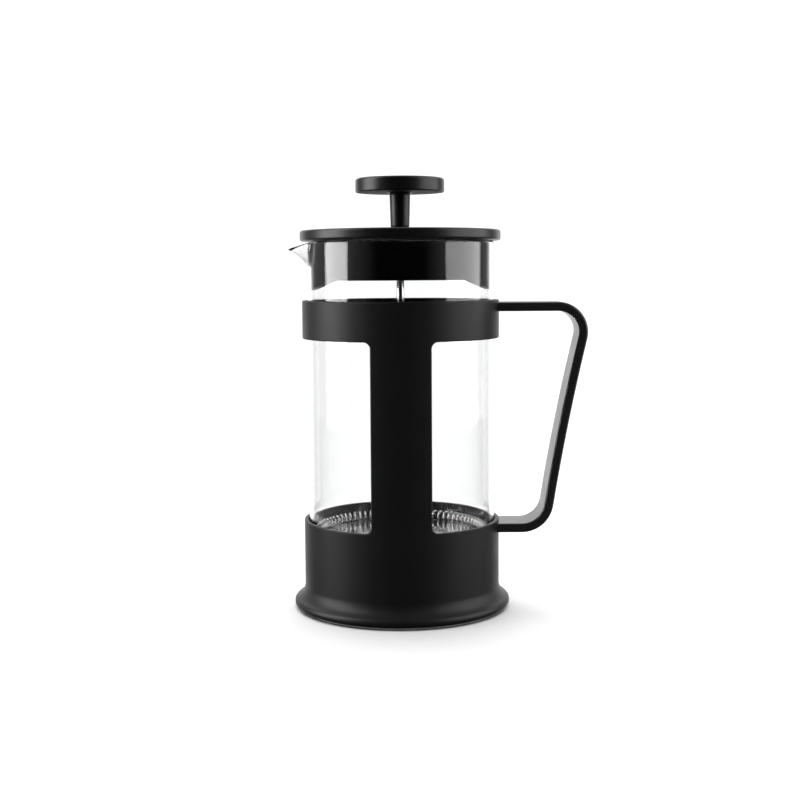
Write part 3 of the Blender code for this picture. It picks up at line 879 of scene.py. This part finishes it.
def make_cross_plate():
    outline = node_ring("cross_plate", [0.0002, 0.0004, 0.0004, 0.0002], outer=CROSS_R, steps=3)
    window = []
    for radius, direction in ((CROSS_HUB_R, 1.0), (CROSS_R - CROSS_RIM, -1.0)):
        half = math.pi / CROSS_SPOKES - math.asin(0.5 * CROSS_SPOKE_WIDTH / radius)
        sweep = [direction * half * (1.0 - i / 8) for i in range(17)]
        window += [(radius * math.cos(a), radius * math.sin(a)) for a in sweep]
    shape = carve(lathe(outline, 192), ring_cutter(0.0, CROSS_SPOKES, window, "cross_plate"))
    piece("cross_disc", shape, STEEL, "plunger", "cross_plate")


def make_nut():
    low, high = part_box("hub_nut")

    def knurl(radius, height, angle):
        gripped = radius > 0.005 and low.z + 0.0006 < height < high.z - 0.0006
        return radius - (0.00025 * abs(math.sin(15.0 * angle)) if gripped else 0.0)

    outline = node_ring("hub_nut", [0.0004, 0.0005, 0.0005, 0.0004])
    grip = [(high.x, low.z + 0.0008), (high.x, high.z - 0.0008)]
    middle = next(i for i, (_, z) in enumerate(outline) if z > low.z + 0.002)
    outline[middle:middle] = grip
    piece("hub_grip", lathe(outline, 120, knurl=knurl), STEEL, "plunger", "hub_nut")


# ---------------------------------------------------------------- studio

def make_floor():
    shape = bmesh.new()
    bmesh.ops.create_circle(shape, cap_ends=True, segments=96, radius=FLOOR_R)
    mesh = bpy.data.meshes.new("floor")
    shape.to_mesh(mesh)
    shape.free()
    floor = bpy.data.objects.new("floor", mesh)
    floor.location.z = FLOOR_Z
    floor.visible_glossy = False
    link(floor)
    paper = Finish("floor_paper", Roughness=0.85)
    paper.tint(paper.noise(3.0, 3.0), (0.90, 0.90, 0.90), (0.92, 0.92, 0.92))
    mesh.materials.append(paper.material)


def area_light(name, place, target, softbox, fill=False):
    """A rectangular softbox. A fill light lights surfaces, and any other is only seen reflected."""
    size, radiance = softbox
    data = bpy.data.lights.new(name, "AREA")
    data.shape = "RECTANGLE"
    data.size, data.size_y = size
    data.energy = radiance * math.pi * size[0] * size[1]
    lamp = bpy.data.objects.new(name, data)
    lamp.location = place
    lamp.rotation_euler = (Vector(target) - Vector(place)).to_track_quat("-Z", "Y").to_euler()
    lamp.visible_camera = False
    lamp.visible_transmission = not fill
    lamp.visible_glossy = not fill
    lamp.visible_diffuse = fill
    link(lamp)


def make_lights():
    aside = SOFTBOX_REACH * math.sin(SOFTBOX_ANGLE)
    ahead = -SOFTBOX_REACH * math.cos(SOFTBOX_ANGLE)
    area_light("left_softbox", (-aside, ahead, SOFTBOX_Z), SOFTBOX_TARGET, LEFT_SOFTBOX)
    area_light("right_softbox", (aside, ahead, SOFTBOX_Z), SOFTBOX_TARGET, RIGHT_SOFTBOX)
    area_light("top_softbox", TOP_SOFTBOX_PLACE, TOP_SOFTBOX_TARGET, TOP_SOFTBOX, fill=True)


def make_world():
    """White where it is seen directly or through glass. In reflections it is a room that is white
    behind and above the object, grey at its sides and dark in front of it."""
    world = bpy.data.worlds.new("studio")
    world.use_nodes = True
    bpy.context.scene.world = world
    tree = world.node_tree
    tree.nodes.clear()

    def node(kind, *values, operation=None):
        made = tree.nodes.new(kind)
        if operation:
            made.operation = operation
        for index, value in enumerate(values):
            if isinstance(value, bpy.types.NodeSocket):
                tree.links.new(value, made.inputs[index])
            else:
                made.inputs[index].default_value = value
        return made

    direction = node("ShaderNodeTexCoord").outputs["Generated"]
    split = node("ShaderNodeSeparateXYZ", direction)
    lifted = node("ShaderNodeVectorMath", direction, ROOM_UP, operation="DOT_PRODUCT")
    sideways = node("ShaderNodeMath", split.outputs["X"], operation="ABSOLUTE")
    behind = node("ShaderNodeMapRange", split.outputs["Y"], *ROOM_BEHIND)
    above = node("ShaderNodeMapRange", lifted.outputs["Value"], *ROOM_ABOVE)
    beside = node("ShaderNodeMapRange", sideways.outputs[0], *ROOM_BESIDE)
    for ranged in (behind, above, beside):
        ranged.interpolation_type = "SMOOTHSTEP"
    room = node("ShaderNodeMath", behind.outputs[0], above.outputs[0], operation="MAXIMUM")
    room = node("ShaderNodeMath", room.outputs[0], beside.outputs[0], operation="MAXIMUM")
    path = node("ShaderNodeLightPath")
    bounces = node("ShaderNodeMath", path.outputs["Glossy Depth"], path.outputs["Diffuse Depth"],
                   operation="ADD")
    direct = node("ShaderNodeMath", bounces.outputs[0], 0.5, operation="LESS_THAN")
    strength = node("ShaderNodeMapRange", direct.outputs[0], 0.0, 1.0, room.outputs[0], BACKDROP)
    background = node("ShaderNodeBackground", (1.0, 1.0, 1.0, 1.0), strength.outputs[0])
    output = node("ShaderNodeOutputWorld")
    tree.links.new(background.outputs[0], output.inputs["Surface"])


def make_camera():
    data = bpy.data.cameras.new("camera")
    data.lens = LENS
    data.sensor_width = 36.0
    camera = bpy.data.objects.new("camera", data)
    camera.location = CAMERA_PLACE
    camera.rotation_euler = (0.5 * math.pi - CAMERA_DOWN, CAMERA_ROLL, 0.0)
    link(camera)
    bpy.context.scene.camera = camera


make_frame()
make_handle()
make_beaker()
make_lid_cover()
make_strainer()
make_guide()
make_knob()
make_insert()
make_rod()
make_collar()
make_spiral_plate()
make_spring()
make_mesh()
make_cross_plate()
make_nut()
make_floor()
make_lights()
make_world()
make_camera()
bpy.context.scene.view_settings.view_transform = "Standard"
